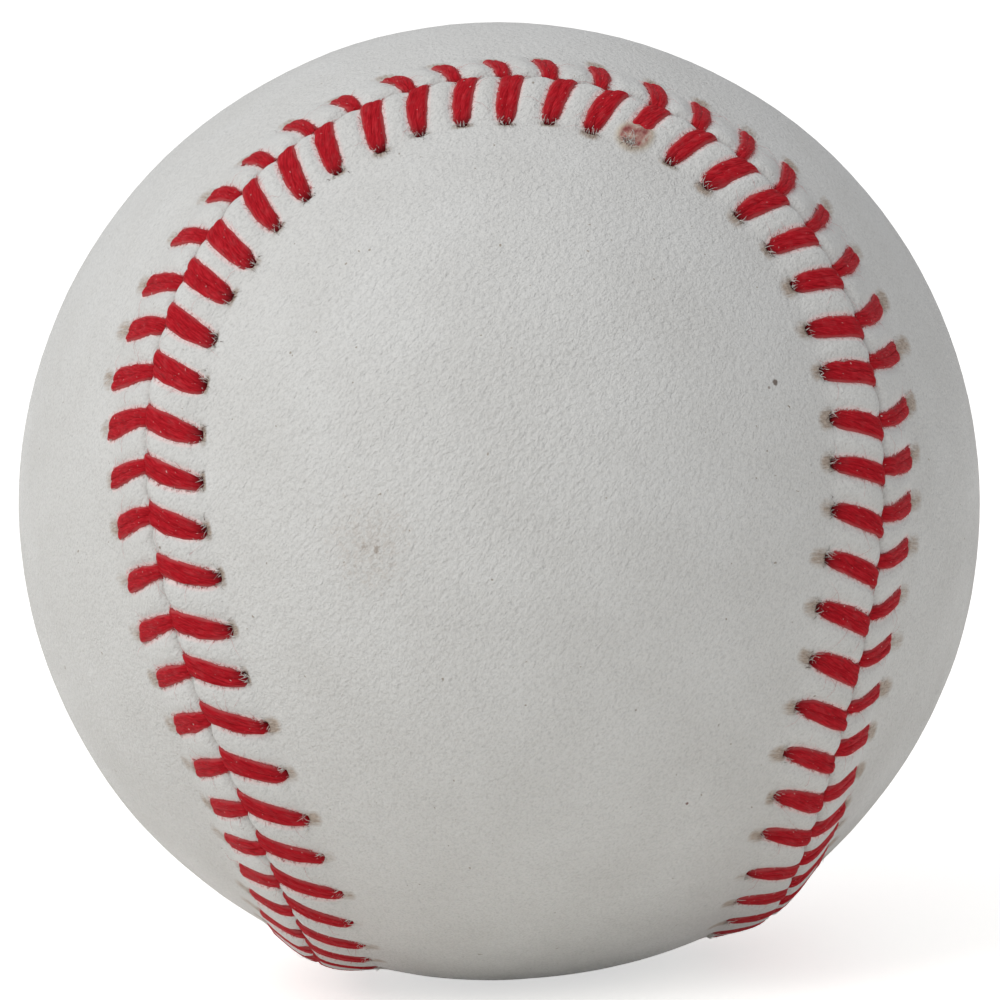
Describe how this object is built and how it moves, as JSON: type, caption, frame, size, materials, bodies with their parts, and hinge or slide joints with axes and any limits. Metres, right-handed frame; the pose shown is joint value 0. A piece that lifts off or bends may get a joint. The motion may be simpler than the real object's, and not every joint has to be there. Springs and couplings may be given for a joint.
{
  "type": "baseball",
  "caption": "Round ball of white figure-eight leather covers laced with raised red stitching over a wool-wound cork and rubber core, for pitching, batting and catching.",
  "frame": {"origin": "middle of the ball", "axes": "+Z through the middle of the upper cover's neck, -Y through the middle of the lower cover's front lobe"},
  "size_m": [0.0728, 0.0728, 0.0722],
  "materials": {
    "leather": "matt white cowhide with a fine grain",
    "thread": "waxed red cotton thread",
    "barrier_coat": "thin smooth latex coat",
    "cotton": "fine cotton blend yarn",
    "grey_wool": "grey wool yarn",
    "white_wool": "white wool yarn",
    "red_rubber": "moulded red rubber",
    "black_rubber": "moulded black rubber",
    "cork": "cork composition"
  },
  "bodies": {
    "root": {"lower_cover": "leather", "upper_cover": "leather", "stitch_thread": "thread", "moisture_barrier": "barrier_coat", "finish_winding": "cotton", "third_winding": "grey_wool", "second_winding": "white_wool", "first_winding": "grey_wool", "red_rubber_shell_upper": "red_rubber", "red_rubber_shell_lower": "red_rubber", "black_rubber_shell_upper": "black_rubber", "black_rubber_shell_lower": "black_rubber", "rubber_gasket": "red_rubber", "cork_core": "cork"}
  },
  "joints": []
}
